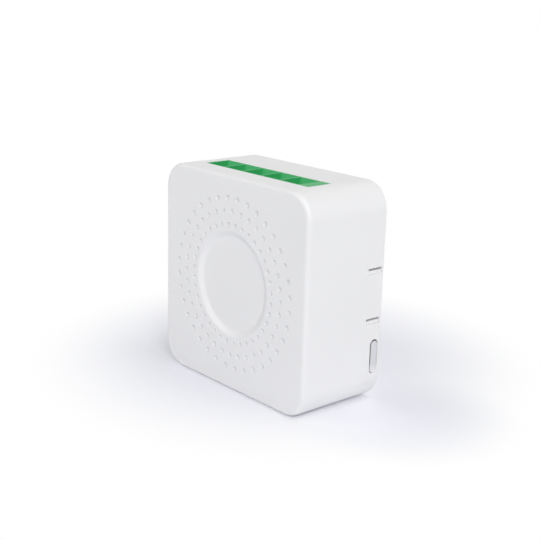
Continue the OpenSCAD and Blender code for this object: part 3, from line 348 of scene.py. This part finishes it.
finishes = {
    "case_white": moulded("case_white", rgb(0.80, 0.80, 0.805), rgb(0.83, 0.83, 0.835), 0.46,
                          tone=dimple_shade_and_polish),
    "button_grey": moulded("button_grey", rgb(0.635, 0.635, 0.67), rgb(0.685, 0.685, 0.72), 0.36,
                           tone=button_painted_light_shade),
    "terminal_green": moulded("terminal_green", rgb(0.034, 0.36, 0.108), rgb(0.044, 0.40, 0.128), 0.45,
                              grain=2400.0, Specular_IOR_Level=0.25),
    "relay_dark": moulded("relay_dark", rgb(0.035, 0.035, 0.04), rgb(0.055, 0.055, 0.06), 0.42),
    "bobbin_ivory": moulded("bobbin_ivory", rgb(0.72, 0.66, 0.52), rgb(0.78, 0.73, 0.60), 0.44),
    "chip_black": moulded("chip_black", rgb(0.018, 0.018, 0.02), rgb(0.032, 0.032, 0.034), 0.58,
                          grain=4600.0, depth=0.02 * MM),
    "film_yellow": moulded("film_yellow", rgb(0.66, 0.36, 0.035), rgb(0.74, 0.43, 0.05), 0.34),
    "clamp_steel": plated("clamp_steel", rgb(0.72, 0.71, 0.68), rgb(0.55, 0.53, 0.50), 0.26,
                          lay=(1.0, 14.0, 1.0)),
    "contact_brass": plated("contact_brass", rgb(0.76, 0.62, 0.34), rgb(0.55, 0.42, 0.24), 0.28,
                            lay=(1.0, 1.0, 12.0)),
    "relay_iron": plated("relay_iron", rgb(0.56, 0.56, 0.55), rgb(0.40, 0.39, 0.38), 0.34,
                         lay=(10.0, 1.0, 1.0)),
    "shield_tin": plated("shield_tin", rgb(0.74, 0.74, 0.73), rgb(0.60, 0.60, 0.58), 0.30,
                         lay=(1.0, 1.0, 9.0)),
    "board_green": laminate("board_green", rgb(0.012, 0.115, 0.045), rgb(0.03, 0.19, 0.075)),
    "winding_copper": wound("winding_copper", rgb(0.70, 0.27, 0.09), rgb(0.40, 0.13, 0.045)),
    "varistor_blue": dipped("varistor_blue", rgb(0.02, 0.07, 0.32), rgb(0.05, 0.13, 0.42), 0.3),
    "resistor_green": dipped("resistor_green", rgb(0.16, 0.28, 0.16), rgb(0.24, 0.36, 0.22), 0.42),
    "ferrite_grey": sintered("ferrite_grey", rgb(0.035, 0.035, 0.038), rgb(0.09, 0.09, 0.095)),
    "can_sleeve": sleeved("can_sleeve", rgb(0.012, 0.014, 0.075), rgb(0.03, 0.034, 0.12)),
    "light_clear": resin("light_clear", rgb(0.82, 0.85, 0.76), rgb(0.9, 0.92, 0.86)),
}

POLES = range(1, 6)
finish_of = {
    "case_white": ["front_shell", "back_cover"],
    "button_grey": ["button_cap"],
    "terminal_green": ["terminal_block"],
    "board_green": ["main_board", "radio_board"],
    "clamp_steel": [f"clamp_cage_{k}" for k in POLES] + [f"terminal_screw_{k}" for k in POLES],
    "contact_brass": ["terminal_contacts", "relay_pins", "relay_contact_spring", "relay_fixed_contact",
                      "aerial_strip"],
    "relay_dark": ["relay_case", "relay_base", "tact_switch_body"],
    "bobbin_ivory": ["relay_bobbin", "tact_switch_plunger"],
    "winding_copper": ["relay_winding", "inductor_winding"],
    "relay_iron": ["relay_core", "relay_yoke", "relay_armature"],
    "shield_tin": ["radio_shield"],
    "chip_black": ["radio_chip", "bridge_rectifier", "supply_chip", "relay_driver", "flyback_diode"],
    "light_clear": ["status_light"],
    "can_sleeve": ["bulk_capacitor_1", "bulk_capacitor_2", "output_capacitor"],
    "film_yellow": ["film_capacitor"],
    "varistor_blue": ["varistor"],
    "resistor_green": ["fusible_resistor"],
    "ferrite_grey": ["inductor_core"],
}
for finish, names in finish_of.items():
    for name in names:
        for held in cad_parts[name].material_slots:
            held.material = finishes[finish]


# Pieces. A side is an axis and the low or high end of it.

LEFT, RIGHT, BACK, TOP = (0, 0), (0, 1), (1, 1), (2, 1)
MERGE_WITHIN = 0.0005 * MM
FLAT_WITHIN = radians(0.6)
ON_SIDE = 0.005 * MM
ON_DIAL = 0.002 * MM
SHARP = radians(40)
ROUND_STEPS = 3
SMOOTH_BEND = radians(34)
RIM_BEND = radians(12)


def on_dial(edge):
    """True for edges in the front face, such as the rims of the dimples, which stay crisp."""
    return all(v.co.y < FACE_Y + ON_DIAL for v in edge.verts)


def finished(name, bm, body, slot, node):
    """Makes a piece of a finished bmesh: it rides on a body and stands for its CAD node."""
    for face in bm.faces:
        face.smooth = True
    for edge in bm.edges:
        bend = edge.calc_face_angle(0.0)
        edge.smooth = bend < SMOOTH_BEND and not (bend > RIM_BEND and on_dial(edge))
    mesh = bpy.data.meshes.new(name)
    bm.to_mesh(mesh)
    bm.free()
    piece = bpy.data.objects.new(name, mesh)
    bpy.context.scene.collection.objects.link(piece)
    mesh.materials.append(finishes[slot])
    even = piece.modifiers.new("even_shading", "WEIGHTED_NORMAL")
    even.keep_sharp = True
    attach(piece, body)
    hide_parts(node)


def softened(name, node, body, slot, radius, *sides):
    """A moulding with the outward edges of its outermost faces rounded, on the sides that show."""
    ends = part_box(node)
    bm = bmesh.new()
    bm.from_mesh(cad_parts[node].data)
    bmesh.ops.remove_doubles(bm, verts=bm.verts, dist=MERGE_WITHIN)
    bmesh.ops.dissolve_limit(bm, angle_limit=FLAT_WITHIN, verts=bm.verts, edges=bm.edges)

    def shows(edge):
        return any(all(abs(v.co[axis] - ends[end][axis]) < ON_SIDE for v in edge.verts)
                   for axis, end in sides)

    edges = [edge for edge in bm.edges
             if edge.is_manifold and edge.is_convex and edge.calc_face_angle() > SHARP and shows(edge)]
    bmesh.ops.bevel(bm, geom=edges, offset=radius, offset_type="OFFSET", segments=ROUND_STEPS, profile=0.5,
                    affect="EDGES", clamp_overlap=False, material=-1)
    finished(name, bm, body, slot, node)


softened("case_shell", "front_shell", "housing", "case_white", 0.1 * MM, LEFT, RIGHT, BACK, TOP)
softened("case_cover", "back_cover", "housing", "case_white", 0.1 * MM, LEFT, RIGHT, BACK)
softened("case_button", "button_cap", "button", "button_grey", 0.12 * MM, RIGHT)
softened("terminal_body", "terminal_block", "housing", "terminal_green", 0.06 * MM, TOP)


# Studio

WHITE = rgb(1.0, 1.0, 1.0)
# The second colour is painted shade: the darker lilac of the halo round the object.
PAPER, PAPER_PAINTED_HALO = rgb(0.93, 0.935, 0.985), rgb(0.69, 0.70, 0.80)
FLOOR_REACH, FLOOR_DROP = 3.0, 0.03 * MM
HALO_BEHIND = (-8.6 * MM, 11.6 * MM, 0.0)
HALO_RIGHT = (27.4 * MM, 7.8 * MM, 0.0)
BEHIND_FROM, BEHIND_TO = -0.8 * MM, 52.0 * MM
RIGHT_FROM, RIGHT_TO = -7.8 * MM, 21.9 * MM
CONTACT_FROM, CONTACT_TO = -0.2 * MM, 0.3 * MM
STANDS_AT, STANDS_TO = 0.8 * MM, 16.2 * MM

floor_mesh = bpy.data.meshes.new("studio_floor")
bm = bmesh.new()
bmesh.ops.create_grid(bm, x_segments=1, y_segments=1, size=FLOOR_REACH)
bmesh.ops.translate(bm, verts=bm.verts, vec=(0.0, 0.0, -FLOOR_DROP))
bm.to_mesh(floor_mesh)
bm.free()
floor = bpy.data.objects.new("studio_floor", floor_mesh)
bpy.context.scene.collection.objects.link(floor)


def seen(f):
    """1 for rays that show the backdrop itself: to the camera, in reflections and through clear pieces."""
    straight, mirrored, through = (f.node("ShaderNodeLightPath", out=f"Is {ray} Ray")
                                   for ray in ("Camera", "Glossy", "Transmission"))
    return f.node("ShaderNodeMath", {"operation": "MINIMUM"}, {0: straight + mirrored + through, 1: 1.0})


def under_case(f, here):
    """0 under the case and 1 just outside it, so that the line where it stands stays dark."""
    across, deep = f.along(here, "XY")
    past_side = abs(across - STANDS_AT) - STANDS_TO
    past_face = abs(deep) - cad_box[1][1]
    past = f.node("ShaderNodeMath", {"operation": "MAXIMUM"}, {0: past_side, 1: past_face})
    return f.steps(past, CONTACT_FROM, CONTACT_TO)


def away_from(f, here, centre, start, end):
    """0 near a point of the paper and 1 far from it."""
    away = f.node("ShaderNodeVectorMath", {"operation": "DISTANCE"}, {0: here, 1: centre}, out="Value")
    return f.steps(away, start, end)


def paper(name):
    """Pale studio paper that takes the object's shadow, with a painted lilac shade round the object that
    fades to white away from it.
    """
    f = Finish(name)
    here = f.here()
    behind = away_from(f, here, HALO_BEHIND, BEHIND_FROM, BEHIND_TO)
    fade = behind * away_from(f, here, HALO_RIGHT, RIGHT_FROM, RIGHT_TO)
    share = fade * under_case(f, here)
    lit = f.node("ShaderNodeBsdfDiffuse", None, {"Color": PAPER})
    # Near the object this glow is darker lilac, which is painted shade that fades to white further out.
    pale = f.node("ShaderNodeEmission", None, {"Color": f.mix(fade, PAPER_PAINTED_HALO, WHITE), "Strength": 1.0})
    return f.show(f.node("ShaderNodeMixShader", None, {0: share * seen(f), 1: lit, 2: pale}))


floor_mesh.materials.append(paper("studio_paper"))


class Air(Finish):
    """The world's own node tree, built in the same way as a finish."""

    def __init__(self, made):
        made.use_nodes = True
        self.tree = made.node_tree
        self.tree.nodes.clear()


AIR_LIGHT = 0.13
world = bpy.data.worlds.new("studio_air")
bpy.context.scene.world = world
air = Air(world)
soft = air.node("ShaderNodeBackground", None, {"Color": WHITE, "Strength": AIR_LIGHT})
backdrop = air.node("ShaderNodeBackground", None, {"Color": WHITE, "Strength": 1.0})
air.node("ShaderNodeOutputWorld", None,
         {"Surface": air.node("ShaderNodeMixShader", None, {0: seen(air), 1: soft, 2: backdrop})})

MIDDLE = Vector((0.0, 0.0, 0.02))
LAMP_REACH = 1.2


def lamp(name, side, size, watts):
    """A square soft box on one side of the object, which it faces."""
    light = bpy.data.lights.new(name, "AREA")
    light.shape = "SQUARE"
    light.size = size
    light.energy = watts
    box = bpy.data.objects.new(name, light)
    bpy.context.scene.collection.objects.link(box)
    away = Vector(side).normalized()
    box.location = MIDDLE + away * LAMP_REACH
    box.rotation_euler = (-away).to_track_quat("-Z", "Y").to_euler()


lamp("soft_box_right", (0.76, -0.43, 0.48), size=0.45, watts=7.9)
lamp("soft_box_top", (0.35, 0.20, 0.915), size=0.60, watts=4.7)
lamp("soft_box_left", (-0.45, -0.77, 0.45), size=0.60, watts=4.1)
lamp("soft_box_back", (-0.25, 0.93, 0.25), size=0.60, watts=3.5)


# Camera

LENS_MM = 69.41
SENSOR_MM = 36.0
SEES_FROM = 10.0 * MM
CAMERA_AT = Vector((0.13736, -0.11972, 0.07180))
LOOKS_ALONG = Vector((-0.72599, 0.63310, -0.26856)).normalized()
ROLL = radians(-1.55)
level = LOOKS_ALONG.cross(Vector((0.0, 0.0, 1.0))).normalized()
upright = level.cross(LOOKS_ALONG)
up = cos(ROLL) * upright + sin(ROLL) * level
right = LOOKS_ALONG.cross(up)

lens = bpy.data.cameras.new("studio_camera")
lens.sensor_width = SENSOR_MM
lens.lens = LENS_MM
lens.clip_start = SEES_FROM
camera = bpy.data.objects.new("studio_camera", lens)
bpy.context.scene.collection.objects.link(camera)
turn = Matrix((right, up, -LOOKS_ALONG)).transposed().to_4x4()
camera.matrix_world = Matrix.Translation(CAMERA_AT) @ turn
bpy.context.scene.camera = camera
bpy.context.scene.view_settings.view_transform = "Standard"
